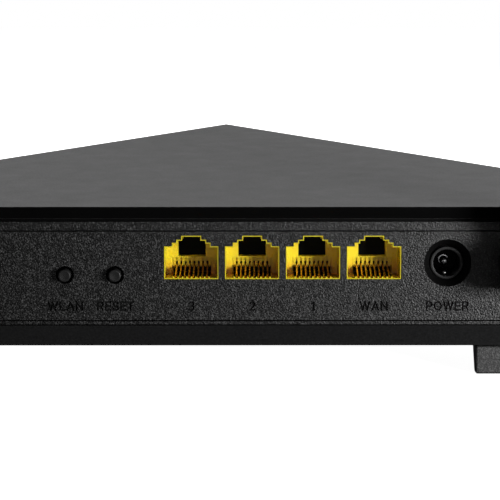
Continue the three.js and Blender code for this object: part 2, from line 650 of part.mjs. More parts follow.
addPiece('status_lamp', finish.clear, onBoard(0, 93, 3.2, 2.4, 2.6));
addPiece('status_light_pipe', finish.clear, box(-LIGHT_HALF, LIGHT_HALF, 94.6, FRONT_Y - 0.1,
  LIGHT_Z - LIGHT_HALF_HEIGHT, LIGHT_Z + LIGHT_HALF_HEIGHT));

for (const { side, sign } of SIDES) {
  const x = sign * AERIAL_X;
  addPiece(`antenna_knuckle_${side}`, finish.aerial, knuckle(x));
  addPiece(`antenna_retaining_ring_${side}`, finish.steel, retainingRing(x));
  addPiece(`antenna_hinge_pin_${side}`, finish.steel, hingePin(x));
  addPiece(`antenna_arm_${side}`, finish.aerial, blade(x));
  addPiece(`antenna_tip_${side}`, finish.aerial, bladeTip(x));
  addPiece(`antenna_board_${side}`, finish.board, bladeBoard(x));
  addPiece(`antenna_lead_${side}`, finish.cable, aerialLead(x, sign));
}

// The origin goes to the middle of the footprint, on the desk.
router.position.y = -(FRONT_Y + PIVOT_Y - KNUCKLE_RADIUS) / 2;

export default router;
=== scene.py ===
"""The looks of a desktop wireless router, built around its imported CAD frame.

Every place comes from the frame. Lengths are metres; MM turns millimetres into metres. The rear port
panel faces -y, so a flat outline is drawn in x and z and runs along y.
"""

import json
import math

import bmesh
import bpy
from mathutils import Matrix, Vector
from mathutils.geometry import tessellate_polygon

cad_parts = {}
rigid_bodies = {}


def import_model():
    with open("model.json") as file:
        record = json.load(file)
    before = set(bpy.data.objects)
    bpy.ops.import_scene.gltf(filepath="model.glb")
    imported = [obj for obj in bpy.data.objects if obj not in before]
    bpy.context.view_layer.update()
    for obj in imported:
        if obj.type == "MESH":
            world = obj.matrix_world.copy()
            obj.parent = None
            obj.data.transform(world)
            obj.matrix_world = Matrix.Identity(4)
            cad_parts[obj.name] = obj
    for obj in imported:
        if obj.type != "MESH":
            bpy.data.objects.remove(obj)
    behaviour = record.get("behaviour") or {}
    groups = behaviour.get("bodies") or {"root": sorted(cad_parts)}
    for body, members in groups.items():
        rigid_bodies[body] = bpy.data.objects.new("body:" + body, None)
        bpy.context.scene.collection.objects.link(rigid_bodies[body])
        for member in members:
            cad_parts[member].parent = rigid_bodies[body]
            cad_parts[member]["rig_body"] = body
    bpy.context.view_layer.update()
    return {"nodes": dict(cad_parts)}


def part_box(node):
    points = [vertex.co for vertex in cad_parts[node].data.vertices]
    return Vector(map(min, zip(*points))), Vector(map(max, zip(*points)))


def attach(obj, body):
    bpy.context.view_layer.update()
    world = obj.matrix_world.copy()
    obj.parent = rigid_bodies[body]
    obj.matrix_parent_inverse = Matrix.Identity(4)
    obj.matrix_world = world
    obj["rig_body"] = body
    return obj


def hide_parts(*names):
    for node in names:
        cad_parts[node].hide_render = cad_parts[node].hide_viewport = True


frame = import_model()

MM = 0.001
SIDES = ("left", "right")
SOCKETS = ("lan3", "lan2", "lan1", "wan")
BUTTONS = ("wlan", "reset")

panel_low, panel_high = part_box("port_panel")
PANEL_FACE = panel_low.y
PANEL_BACK = panel_high.y


def centre_of(node):
    low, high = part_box(node)
    return (low + high) / 2


# ---- Materials -----------------------------------------------------------------------------------


class Nodes:
    """A node material under construction: a Principled shader and the few helpers that feed it."""

    def __init__(self, name, colour, roughness, metallic=0.0, specular=0.5):
        self.material = bpy.data.materials.new(name)
        self.material.use_nodes = True
        self.tree = self.material.node_tree
        self.shader = self.tree.nodes["Principled BSDF"]
        self.shader.inputs["Base Color"].default_value = (*colour, 1)
        self.shader.inputs["Roughness"].default_value = roughness
        self.shader.inputs["Metallic"].default_value = metallic
        self.shader.inputs["Specular IOR Level"].default_value = specular
        self.place = self.tree.nodes.new("ShaderNodeTexCoord").outputs["Object"]

    def link(self, source, target):
        self.tree.links.new(source, target)

    def noise(self, size, detail=3.0, stretch=(1, 1, 1)):
        """Noise whose grains are about size metres across, from 0 to 1."""
        mapping = self.tree.nodes.new("ShaderNodeMapping")
        mapping.inputs["Scale"].default_value = stretch
        self.link(self.place, mapping.inputs["Vector"])
        node = self.tree.nodes.new("ShaderNodeTexNoise")
        node.inputs["Scale"].default_value = 1 / size
        node.inputs["Detail"].default_value = detail
        self.link(mapping.outputs["Vector"], node.inputs["Vector"])
        return node.outputs["Fac"]

    def spread(self, value, low, high, start=0.3, end=0.7):
        """Maps start..end of a value to low..high."""
        node = self.tree.nodes.new("ShaderNodeMapRange")
        for socket, number in zip(("From Min", "From Max", "To Min", "To Max"), (start, end, low, high)):
            node.inputs[socket].default_value = number
        self.link(value, node.inputs["Value"])
        return node.outputs["Result"]

    def mixed_colour(self, factor, first, second):
        node = self.tree.nodes.new("ShaderNodeMix")
        node.data_type = "RGBA"
        node.inputs["A"].default_value = (*first, 1)
        node.inputs["B"].default_value = (*second, 1)
        self.link(factor, node.inputs["Factor"])
        self.link(node.outputs["Result"], self.shader.inputs["Base Color"])

    def rough(self, value, low, high):
        self.link(self.spread(value, low, high), self.shader.inputs["Roughness"])

    def bump(self, value, height):
        node = self.tree.nodes.new("ShaderNodeBump")
        node.inputs["Distance"].default_value = height
        self.link(value, node.inputs["Height"])
        self.link(node.outputs["Normal"], self.shader.inputs["Normal"])


def scaled(colour, factor):
    return tuple(min(1.0, channel * factor) for channel in colour)


def plastic(name, colour, grain, roughness, height, contrast=0.2, specular=0.35):
    """Moulded plastic: a grain in its height, and slight changes of tone and gloss."""
    nodes = Nodes(name, colour, roughness, specular=specular)
    fine = nodes.noise(grain)
    tone = nodes.noise(grain * 1.7, detail=2)
    nodes.mixed_colour(nodes.spread(tone, 0, 1), scaled(colour, 1 - contrast), scaled(colour, 1 + contrast))
    nodes.rough(nodes.noise(grain * 30, detail=4), roughness - 0.05, roughness + 0.05)
    nodes.bump(fine, height)
    return nodes.material


def metal(name, colour, roughness, stretch=(1, 1, 1)):
    """Plated or brushed metal with faint streaks and smudges."""
    nodes = Nodes(name, colour, roughness, metallic=1.0)
    streaks = nodes.noise(0.3 * MM, stretch=stretch)
    nodes.rough(streaks, roughness * 0.75, roughness * 1.25)
    nodes.mixed_colour(nodes.spread(streaks, 0, 1), scaled(colour, 0.93), scaled(colour, 1.04))
    nodes.bump(streaks, 0.002 * MM)
    return nodes.material


def speckled(name, colour, glint_colour, roughness, height, specular=0.5):
    """Spark-eroded plastic: a coarse dark grain sprinkled with paler specks, which are painted glints of the
    rough surface.
    """
    nodes = Nodes(name, colour, roughness, specular=specular)
    specks = nodes.noise(0.3 * MM, detail=1)
    # Painted glints: the paler specks stand in for light glinting off the grain.
    nodes.mixed_colour(nodes.spread(specks, 0, 1, 0.52, 0.74), colour, glint_colour)
    nodes.rough(nodes.noise(0.3 * MM, detail=1), roughness - 0.1, roughness + 0.1)
    nodes.bump(nodes.noise(0.38 * MM, detail=2), height)
    return nodes.material


def moulded_yellow(name, colour, shade_colour):
    """The sockets' glossy yellow plastic, with painted shade: its colour darkens to amber low down inside
    the cavity, where the shade falls.
    """
    nodes = Nodes(name, colour, 0.32, specular=0.5)
    axes = nodes.tree.nodes.new("ShaderNodeSeparateXYZ")
    nodes.link(nodes.place, axes.inputs["Vector"])
    lowness = nodes.spread(axes.outputs["Z"], 1, 0, 22.9 * MM, 26.6 * MM)
    inside = nodes.spread(axes.outputs["Y"], 0, 1, PANEL_FACE + 0.5 * MM, PANEL_FACE + 4 * MM)
    # Painted shade: the yellow turns to the shade colour low down and inside the cavity.
    depth = nodes.tree.nodes.new("ShaderNodeMath")
    depth.operation = "MULTIPLY"
    nodes.link(lowness, depth.inputs[0])
    nodes.link(inside, depth.inputs[1])
    nodes.mixed_colour(depth.outputs["Value"], colour, shade_colour)
    nodes.rough(nodes.noise(0.6 * MM), 0.26, 0.4)
    nodes.bump(nodes.noise(0.3 * MM), 0.004 * MM)
    nodes.shader.inputs["Subsurface Weight"].default_value = 0.35
    nodes.shader.inputs["Subsurface Radius"].default_value = (1, 0.7, 0.1)
    nodes.shader.inputs["Subsurface Scale"].default_value = 1.5 * MM
    return nodes.material


def solder_mask(name, colour):
    """A circuit board: solder mask over faintly raised tracks."""
    nodes = Nodes(name, colour, 0.35)
    weave = nodes.noise(0.5 * MM, detail=2)
    tracks = nodes.noise(3 * MM, detail=1, stretch=(1, 0.15, 1))
    nodes.mixed_colour(nodes.spread(tracks, 0, 1, 0.48, 0.52), scaled(colour, 0.8), scaled(colour, 1.3))
    nodes.rough(weave, 0.3, 0.45)
    nodes.bump(tracks, 0.03 * MM)
    return nodes.material


LID = plastic("lid_plastic", (0.096, 0.096, 0.097), 0.22 * MM, 0.55, 0.02 * MM, contrast=0.25, specular=0.3)
TEXTURED = speckled("textured_plastic", (0.002, 0.002, 0.002), (0.07, 0.07, 0.07), 0.4, 0.14 * MM)
SMOOTH = plastic("smooth_plastic", (0.0115, 0.0115, 0.0118), 0.25 * MM, 0.45, 0.010 * MM, contrast=0.35,
                 specular=0.25)
# Near-black copy of the lid plastic: painted shade under the lid's rear overhang.
UNDERCUT_SHADE = plastic("undercut_painted_shade", (0.002, 0.002, 0.002), 0.2 * MM, 0.5, 0.006 * MM, contrast=0.2,
                   specular=0.08)
# Paler strip: a painted highlight on the rounded lower edge of the lid's rear slope.
LIP_HIGHLIGHT = plastic("lip_painted_highlight", (0.1, 0.1, 0.1), 0.2 * MM, 0.4, 0.004 * MM, contrast=0.1)
HOLE_WALL = plastic("hole_wall_plastic", (0.004, 0.004, 0.004), 0.3 * MM, 0.5, 0.01 * MM, contrast=0.2,
                    specular=0.15)
AERIAL = plastic("aerial_plastic", (0.022, 0.022, 0.023), 0.3 * MM, 0.45, 0.006 * MM, contrast=0.15)
FOOT = speckled("foot_plastic", (0.018, 0.018, 0.018), (0.09, 0.09, 0.09), 0.5, 0.08 * MM)
BUTTON = plastic("button_plastic", (0.016, 0.016, 0.016), 0.3 * MM, 0.35, 0.02 * MM, contrast=0.2)
INLET = plastic("inlet_plastic", (0.03, 0.03, 0.03), 0.3 * MM, 0.45, 0.02 * MM, contrast=0.15)
# Near-black used as painted shade: behind the panel's groove, behind the socket wires, inside the power
# bore, behind the button holes and on the inlet's spring leaf.
SHADE_BLACK = plastic("painted_shade_black", (0.002, 0.002, 0.002), 0.2 * MM, 0.5, 0.008 * MM, contrast=0.1, specular=0.1)
ENGRAVING = plastic("engraving", (0.004, 0.004, 0.004), 0.1 * MM, 0.7, 0.004 * MM, contrast=0.1,
                    specular=0.1)
# The second colour is the painted shade low in the socket's cavity.
YELLOW = moulded_yellow("socket_yellow", (0.84, 0.67, 0.022), (0.60, 0.30, 0.006))
GOLD = metal("contact_gold", (0.78, 0.44, 0.15), 0.25)
STEEL = metal("plain_steel", (0.60, 0.60, 0.61), 0.24, stretch=(1, 0.1, 1))
SPRING = metal("spring_steel", (0.80, 0.80, 0.78), 0.42)
ALLOY = metal("stamped_alloy", (0.72, 0.73, 0.74), 0.36, stretch=(0.1, 1, 1))
BOARD = solder_mask("solder_mask", (0.02, 0.16, 0.07))
CHIP = plastic("chip_epoxy", (0.018, 0.018, 0.020), 0.2 * MM, 0.55, 0.01 * MM)
SLEEVE = plastic("can_sleeve", (0.03, 0.05, 0.20), 0.2 * MM, 0.35, 0.004 * MM)
CLEAR = plastic("clear_plastic", (0.75, 0.80, 0.82), 0.4 * MM, 0.15, 0.004 * MM, contrast=0.03)
JACKET = plastic("cable_jacket", (0.05, 0.05, 0.055), 0.2 * MM, 0.5, 0.01 * MM)


# ---- Mesh tools ----------------------------------------------------------------------------------


def piece(name, shape, material, body, slot, *replaced, smooth=32, bevel=0.0, segments=3):
    """Turns a bmesh into a named piece that rides on a body and may replace CAD nodes."""
    bmesh.ops.remove_doubles(shape, verts=shape.verts, dist=1e-7)
    bmesh.ops.recalc_face_normals(shape, faces=shape.faces)
    mesh = bpy.data.meshes.new(name)
    shape.to_mesh(mesh)
    shape.free()
    obj = bpy.data.objects.new(name, mesh)
    bpy.context.scene.collection.objects.link(obj)
    for one in material if isinstance(material, tuple) else (material,):
        mesh.materials.append(one)
    finish_surface(obj, smooth, bevel, segments)
    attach(obj, body)
    if replaced:
        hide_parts(*replaced)
    return obj


def finish_surface(obj, smooth, bevel, segments):
    """Shades a piece smooth up to an angle, or flat where smooth is 0, and rounds its edges."""
    obj.data.shade_smooth()
    obj.data.set_sharp_from_angle(angle=math.radians(smooth))
    if bevel:
        modifier = obj.modifiers.new("bevel", "BEVEL")
        modifier.width = bevel
        modifier.segments = segments
        modifier.limit_method = "ANGLE"
        modifier.angle_limit = math.radians(max(smooth, 30))
        modifier.harden_normals = smooth > 0


def refined(node, material, slot, bevel, name=None, smooth=28, segments=3):
    """A copy of a CAD node with its flat faces merged and its edges rounded, in the node's stead."""
    shape = bmesh.new()
    shape.from_mesh(frame["nodes"][node].data)
    bmesh.ops.remove_doubles(shape, verts=shape.verts, dist=1e-6)
    bmesh.ops.dissolve_limit(shape, angle_limit=math.radians(0.6), verts=shape.verts, edges=shape.edges)
    body = frame["nodes"][node]["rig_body"]
    return piece(name or f"{node}_shell", shape, material, body, slot, node, smooth=smooth,
                 bevel=bevel, segments=segments)


def extruded(shape, loops, y0, y1, far_loops=None, wall_materials=None):
    """Adds a flat outline with holes, drawn in x and z, between two depths.

    far_loops gives the outlines at y1 where a hole tapers, and wall_materials the walls' material slots.
    """
    flat = [[Vector((x, z, 0)) for x, z in loop] for loop in loops]
    near = [shape.verts.new((x, y0, z)) for loop in loops for x, z in loop]
    far = [shape.verts.new((x, y1, z)) for loop in far_loops or loops for x, z in loop]
    for triangle in tessellate_polygon(flat):
        shape.faces.new([near[i] for i in triangle])
        shape.faces.new([far[i] for i in reversed(triangle)])
    start = 0
    for number, loop in enumerate(loops):
        for i in range(len(loop)):
            a, b = start + i, start + (i + 1) % len(loop)
            face = shape.faces.new((near[a], near[b], far[b], far[a]))
            face.material_index = wall_materials[number] if wall_materials else 0
        start += len(loop)


def rectangle(x0, x1, z0, z1):
    return [(x0, z0), (x1, z0), (x1, z1), (x0, z1)]


def block(shape, x0, x1, y0, y1, z0, z1):
    extruded(shape, [rectangle(x0, x1, z0, z1)], y0, y1)


def turned(shape, centre, profile, sides=48, closed=False):
    """Adds a solid turned about the y axis from (radius, y) pairs.

    A closed profile joins its last pair to its first, which makes a ring.
    """
    rings = []
    for radius, y in profile:
        if radius <= 0:
            rings.append([shape.verts.new((centre.x, y, centre.z))])
            continue
        ring = []
        for i in range(sides):
            angle = 2 * math.pi * i / sides
            ring.append(shape.verts.new(
                (centre.x + radius * math.cos(angle), y, centre.z + radius * math.sin(angle))))
        rings.append(ring)
    following = rings[1:] + rings[:1] if closed else rings[1:]
    for first, second in zip(rings, following):
        for i in range(sides):
            j = (i + 1) % sides
            corners = [first[i % len(first)], first[j % len(first)],
                       second[j % len(second)], second[i % len(second)]]
            unique = list(dict.fromkeys(corners))
            if len(unique) > 2:
                shape.faces.new(unique)


def circle(x, z, radius, sides=64):
    steps = (2 * math.pi * i / sides for i in range(sides))
    return [(x + radius * math.cos(a), z + radius * math.sin(a)) for a in steps]


def cut_away(obj, shapes, material):
    """Cuts closed bmeshes, which may overlap, out of a piece, and gives the cut surface a material."""
    cutters = bpy.data.collections.new("cutters")
    bpy.context.scene.collection.children.link(cutters)
    for shape in shapes:
        bmesh.ops.recalc_face_normals(shape, faces=shape.faces)
        mesh = bpy.data.meshes.new("cutter")
        shape.to_mesh(mesh)
        shape.free()
        mesh.materials.append(material)
        cutters.objects.link(bpy.data.objects.new("cutter", mesh))
    modifier = obj.modifiers.new("cut", "BOOLEAN")
    modifier.operation = "DIFFERENCE"
    modifier.solver = "EXACT"
    modifier.material_mode = "TRANSFER"
    modifier.operand_type = "COLLECTION"
    modifier.collection = cutters
    settle(obj)
    for cutter in list(cutters.objects):
        bpy.data.objects.remove(cutter)
    bpy.data.collections.remove(cutters)


def settle(obj):
    """Applies a piece's modifiers to its mesh."""
    bpy.context.view_layer.update()
    evaluated = obj.evaluated_get(bpy.context.evaluated_depsgraph_get())
    mesh = bpy.data.meshes.new_from_object(evaluated)
    obj.modifiers.clear()
    obj.data = mesh


# ---- Port panel ----------------------------------------------------------------------------------

# Half width and top height above the sill of each step of a socket's mouth.
MOUTH_STEPS = ((6.225, 7.56), (4.45, 8.41), (3.425, 9.08), (2.3, 10.0))
MOUTH_SILL = 22.68 * MM
BUTTON_HOLE = 2.08 * MM
POWER_HOLE = {"face": 5.45 * MM, "back": 4.1 * MM}


def mouth(x, inset=0.0):
    """The stepped outline of a socket's mouth about x, moved inwards by inset."""
    right = [(MOUTH_STEPS[0][0] * MM - inset, MOUTH_SILL + inset)]
    for i, (half, top) in enumerate(MOUTH_STEPS):
        level = MOUTH_SILL + top * MM - inset
        right.append((half * MM - inset, level))
        if i + 1 < len(MOUTH_STEPS):
            right.append((MOUTH_STEPS[i + 1][0] * MM - inset, level))
    outline = right + [(-a, b) for a, b in reversed(right)]
    return [(x + a, b) for a, b in outline]


def port_panel():
    edge = rectangle(panel_low.x, panel_high.x, panel_low.z, panel_high.z)
    loops = [edge, *(mouth(centre_of(f"{name}_socket").x, -0.06 * MM) for name in SOCKETS)]
    for name in BUTTONS:
        middle = centre_of(f"{name}_button_cap")
        loops.append(circle(middle.x, middle.z, BUTTON_HOLE))
    inlet = centre_of("power_inlet_pin")
    far_loops = [*loops, circle(inlet.x, inlet.z, POWER_HOLE["back"], 96)]
    loops.append(circle(inlet.x, inlet.z, POWER_HOLE["face"], 96))
    shape = bmesh.new()
    extruded(shape, loops, PANEL_FACE, PANEL_BACK, far_loops, [0] + [1] * (len(loops) - 1))
    obj = piece("rear_port_panel", shape, (TEXTURED, HOLE_WALL), "case", "textured_black", "port_panel",
                smooth=0, bevel=0.08 * MM, segments=2)
    settle(obj)
    strokes = [stroke for node, text in CAPTIONS.items() for stroke in caption(text, centre_of(node).x)]
    cut_away(obj, strokes, ENGRAVING)
    obj.data.shade_flat()
    panel_shade_strip()


def panel_shade_strip():
    """A dark strip around the panel's back that closes the view through its groove, painted shade standing
    in for the dark inside of the case.
    """
    outer = rectangle(panel_low.x - MM, panel_high.x + MM, panel_low.z - 0.8 * MM, panel_high.z + 0.8 * MM)
    inner = rectangle(panel_low.x + MM, panel_high.x - MM, panel_low.z + MM, panel_high.z - 0.5 * MM)
    shape = bmesh.new()
    extruded(shape, [outer, inner], PANEL_BACK + 0.05 * MM, PANEL_BACK + 0.25 * MM)
    piece("panel_shade_strip", shape, SHADE_BLACK, "case", "textured_black")


# ---- Captions ------------------------------------------------------------------------------------

CAPTIONS = {"wlan_button_cap": "WLAN", "reset_button_cap": "RESET", "lan3_socket": "3", "lan2_socket": "2",
            "lan1_socket": "1", "wan_socket": "WAN", "power_inlet": "POWER"}
CAPTION = {"height": 2.23 * MM, "baseline": 15.35 * MM, "depth": 0.3 * MM, "stroke": 0.175, "gap": 0.12}


def arc(x, y, rx, ry, start, end, steps=12):
    """Points along part of an ellipse, its angles in degrees."""
    angles = (math.radians(start + (end - start) * i / steps) for i in range(steps + 1))
    return [(x + rx * math.cos(a), y + ry * math.sin(a)) for a in angles]


LOW, HIGH = 0.09, 0.91
STEM = [(0.09, LOW), (0.09, HIGH)]
BOWL = [(0.09, HIGH), *arc(0.38, 0.69, 0.22, 0.22, 90, -90), (0.09, 0.47)]
# Each letter's width and the middle lines of its strokes, for a letter one unit high.
LETTERS = {
    "A": (0.84, [[(0.1, LOW), (0.42, HIGH)], [(0.42, HIGH), (0.74, LOW)], [(0.2, 0.34), (0.64, 0.34)]]),
    "E": (0.64, [[(0.58, HIGH), (0.09, HIGH), (0.09, LOW), (0.58, LOW)], [(0.09, 0.51), (0.54, 0.51)]]),
    "L": (0.62, [[(0.09, HIGH), (0.09, LOW), (0.58, LOW)]]),
    "N": (0.76, [STEM, [(0.09, HIGH), (0.67, LOW)], [(0.67, LOW), (0.67, HIGH)]]),
    "O": (0.86, [arc(0.43, 0.5, 0.34, 0.41, 0, 190, 20), arc(0.43, 0.5, 0.34, 0.41, 180, 370, 20)]),
    "P": (0.68, [STEM, BOWL]),
    "R": (0.70, [STEM, BOWL, [(0.38, 0.47), (0.62, LOW)]]),
    "S": (0.68, [arc(0.34, 0.7, 0.23, 0.21, 20, 270)[:-1] + arc(0.34, 0.28, 0.25, 0.2, 90, -160)[1:]]),
    "T": (0.66, [[(0.02, HIGH), (0.64, HIGH)], [(0.33, HIGH), (0.33, LOW)]]),
    "W": (1.06, [[(0.08, HIGH), (0.3, LOW)], [(0.3, LOW), (0.53, HIGH)], [(0.53, HIGH), (0.76, LOW)],
                 [(0.76, LOW), (0.98, HIGH)]]),
    "1": (0.44, [[(0.1, 0.72), (0.28, 0.84)], [(0.3, HIGH), (0.3, LOW)]]),
    "2": (0.64, [arc(0.32, 0.68, 0.22, 0.23, 160, -40), [(0.49, 0.535), (0.11, LOW)],
                 [(0.08, LOW), (0.58, LOW)]]),
    "3": (0.62, [arc(0.3, 0.7, 0.21, 0.21, 150, -90), arc(0.3, 0.29, 0.23, 0.2, 90, -155)]),
}


def stroke_outline(points, half):
    """The outline of a line of even width, mitred at its bends."""
    left, right = [], []
    for i, (x, y) in enumerate(points):
        before = Vector(points[i]) - Vector(points[i - 1]) if i else None
        after = Vector(points[i + 1]) - Vector(points[i]) if i + 1 < len(points) else None
        first = (before or after).normalized()
        second = (after or before).normalized()
        along = (first + second).normalized()
        reach = half / max(0.4, along.dot(first))
        end = along * half * 0.9 * ((after is None) - (before is None))
        left.append((x - along.y * reach + end.x, y + along.x * reach + end.y))
        right.append((x + along.y * reach + end.x, y - along.x * reach + end.y))
    return left + right[::-1]


def caption(text, x):
    """The strokes of a caption centred on x, each a closed solid that reaches through the panel's face."""
    scale = CAPTION["height"]
    width = sum(LETTERS[letter][0] for letter in text) + CAPTION["gap"] * (len(text) - 1)
    start = -width / 2
    strokes = []
    for letter in text:
        for stroke in LETTERS[letter][1]:
            shape = bmesh.new()
            outline = [(x + (start + a) * scale, CAPTION["baseline"] + b * scale)
                       for a, b in stroke_outline(stroke, CAPTION["stroke"] / 2)]
            extruded(shape, [outline], PANEL_FACE - CAPTION["depth"], PANEL_FACE + CAPTION["depth"])
            strokes.append(shape)
        start += LETTERS[letter][0] + CAPTION["gap"]
    return strokes


# ---- Sockets -------------------------------------------------------------------------------------

RIM = 0.2 * MM
SOCKET_CAVITY = 9.2 * MM  # from the panel's face to the comb
WIRES = 8
WIRE_PITCH = 1.02 * MM


def socket_housing(name):
    """Yellow body: a stepped collar and cavity, a back wall with the latch's dark window, and a comb."""
    x = centre_of(f"{name}_socket").x
    low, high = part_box(f"{name}_socket")
    face = PANEL_FACE + 0.12 * MM
    comb_y = PANEL_FACE + SOCKET_CAVITY
    shape = bmesh.new()
    # The collar that fills the panel's cut-out, then the wider body behind it.
    extruded(shape, [mouth(x), mouth(x, RIM)], face, comb_y + 0.2 * MM)
    extruded(shape, [rectangle(low.x, high.x, low.z, high.z), mouth(x, 0.05 * MM)], low.y, high.y)
    # The back wall: a plane beside and under the latch window, down to the comb's recess.
    wall = (comb_y - 1.4 * MM, comb_y + 1.5 * MM)
    window = {"half": 3.2 * MM, "low": 27.0 * MM, "slot": 1.98 * MM, "step": 31.1 * MM}
    inner = mouth(x, RIM * 0.9)
    top = max(z for _, z in inner) + 1.0 * MM
    half = MOUTH_STEPS[0][0] * MM
    recess = {"half": 4.65 * MM, "high": 26.75 * MM}
    for side in (-1, 1):
        for near, bottom, ceiling in ((window["half"], recess["high"], window["step"]),
                                      (recess["half"], low.z, recess["high"]),
                                      (window["slot"], window["step"], top)):
            block(shape, *sorted((x + side * near, x + side * half)), *wall, bottom, ceiling)
    block(shape, x - window["half"], x + window["half"], *wall, recess["high"], window["low"])
    comb(shape, x, comb_y - 0.6 * MM, recess["high"])
    sill_ribs(shape, x, face)
    piece(f"{name}_housing", shape, YELLOW, "case", "socket_yellow", f"{name}_socket",
          bevel=0.05 * MM, segments=2)
    # Behind the wires, painted shade: a dark wall, and a dark block in the slot of the cavity's floor, where
    # the deep cavity lies in shadow.
    shade_block = bmesh.new()
    block(shade_block, x - 6.0 * MM, x + 6.0 * MM, comb_y + 2.6 * MM, comb_y + 3.0 * MM, low.z + MM,
          high.z - 0.3 * MM)
    block(shade_block, x - 4.3 * MM, x + 4.3 * MM, face + 1.5 * MM, comb_y + 2.5 * MM, MOUTH_SILL + 0.1 * MM,
          MOUTH_SILL + RIM + 0.04 * MM)
    piece(f"{name}_painted_shade_screen", shade_block, SHADE_BLACK, "case", "chip_black")


def comb(shape, x, y, top):
    """Nine fingers that keep the wires apart, waisted and pointed, with a web behind their upper half."""
    top += 0.1 * MM
    half_widths = [(0.37, top), (0.35, 25.9 * MM), (0.25, 25.4 * MM), (0.35, 24.95 * MM), (0.02, 24.35 * MM)]
    for i in range(WIRES + 1):
        middle = x + (i - WIRES / 2) * WIRE_PITCH
        right = [(middle + half * MM, z) for half, z in half_widths]
        left = [(middle - half * MM, z) for half, z in reversed(half_widths)]
        extruded(shape, [right + left], y, y + 1.8 * MM)
    block(shape, x - 4.4 * MM, x + 4.4 * MM, y + 0.5 * MM, y + 1.8 * MM, 25.75 * MM, top)
    for side in (-1, 1):
        block(shape, *sorted((x + side * 4.35 * MM, x + side * 4.7 * MM)), y + 0.1 * MM, y + 1.8 * MM,
              MOUTH_SILL, top)


def sill_ribs(shape, x, face):
    """Nine low ribs behind the sill, between the wires."""
    for i in range(WIRES + 1):
        middle = x + (i - WIRES / 2) * WIRE_PITCH
        block(shape, middle - 0.16 * MM, middle + 0.16 * MM, face + 0.2 * MM, face + 1.4 * MM,
              MOUTH_SILL + 0.05 * MM, MOUTH_SILL + 0.5 * MM)


def socket_wires(name):
    """Eight round spring wires: a hook over the sill, then a rise back to the comb."""
    x = centre_of(f"{name}_socket").x
    face = PANEL_FACE + 0.5 * MM
    comb_y = PANEL_FACE + SOCKET_CAVITY
    path = [(face + 2.4 * MM, 22.75), (face + 0.7 * MM, 22.8), (face + 0.35 * MM, 23.05),
            (face + 0.8 * MM, 23.3), (face + 3 * MM, 23.75), (comb_y - 1 * MM, 24.75),
            (comb_y + 1.2 * MM, 25.1), (comb_y + 2.4 * MM, 25.2)]
    curve = bpy.data.curves.new(f"{name}_wires", "CURVE")
    curve.dimensions = "3D"
    curve.bevel_depth = 0.21 * MM
    curve.bevel_resolution = 3
    curve.use_fill_caps = True
    for i in range(WIRES):
        middle = x + (i - (WIRES - 1) / 2) * WIRE_PITCH
        spline = curve.splines.new("POLY")
        spline.points.add(len(path) - 1)
        for point, (y, z) in zip(spline.points, path):
            point.co = (middle, y, z * MM, 1)
    holder = bpy.data.objects.new("wires", curve)
    bpy.context.scene.collection.objects.link(holder)
    bpy.context.view_layer.update()
    mesh = bpy.data.meshes.new_from_object(holder.evaluated_get(bpy.context.evaluated_depsgraph_get()))
    bpy.data.objects.remove(holder)
    shape = bmesh.new()
    shape.from_mesh(mesh)
    piece(f"{name}_wires", shape, GOLD, "case", "contact_gold", f"{name}_contacts", smooth=60)


# ---- Power inlet ---------------------------------------------------------------------------------

# How far below their CAD place the collar and the pin are drawn.
COLLAR_SAG = 0.3 * MM
PIN_SAG = 0.5 * MM


def power_inlet():
    """A ring-shaped collar, and its block behind the panel, whose near-black colour is painted shade inside
    the bore.
    """
    low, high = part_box("power_inlet")
    centre = centre_of("power_inlet_pin") - Vector((0, 0, COLLAR_SAG))
    collar, bore, rear = 3.75 * MM, 3.1 * MM, 9.2 * MM
    front = low.y
    shape = bmesh.new()
    turned(shape, centre, [
        (bore, front + 2.2 * MM), (bore, front + 0.14 * MM), (bore + 0.04 * MM, front + 0.04 * MM),
        (bore + 0.12 * MM, front), (collar - 0.12 * MM, front), (collar - 0.04 * MM, front + 0.04 * MM),
        (collar, front + 0.14 * MM), (collar, front + 2.2 * MM),
    ], sides=96, closed=True)
    piece("inlet_collar", shape, INLET, "case", "inlet_plastic", "power_inlet")
    body = bmesh.new()
    extruded(body, [rectangle(low.x, high.x, low.z, high.z), circle(centre.x, centre.z, bore, 96)],
             front + 2.2 * MM, front + rear)
    block(body, low.x, high.x, front + rear, high.y, low.z, high.z)
    piece("inlet_block", body, SHADE_BLACK, "case", "inlet_plastic")


def power_pin():
    low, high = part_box("power_inlet_pin")
    centre = centre_of("power_inlet_pin") - Vector((0, 0, PIN_SAG))
    seat = low.y + 3.6 * MM
    shape = bmesh.new()
    turned(shape, centre, [
        (0, low.y), (0.45 * MM, low.y + 0.03 * MM), (0.78 * MM, low.y + 0.18 * MM),
        (0.95 * MM, low.y + 0.45 * MM), (MM, low.y + 0.8 * MM), (MM, seat),
        (1.22 * MM, seat), (1.38 * MM, seat + 0.12 * MM), (1.4 * MM, seat + 0.35 * MM),
        (1.4 * MM, high.y), (0, high.y),
    ], sides=64)
    piece("inlet_centre_pin", shape, STEEL, "case", "steel", "power_inlet_pin", smooth=40)


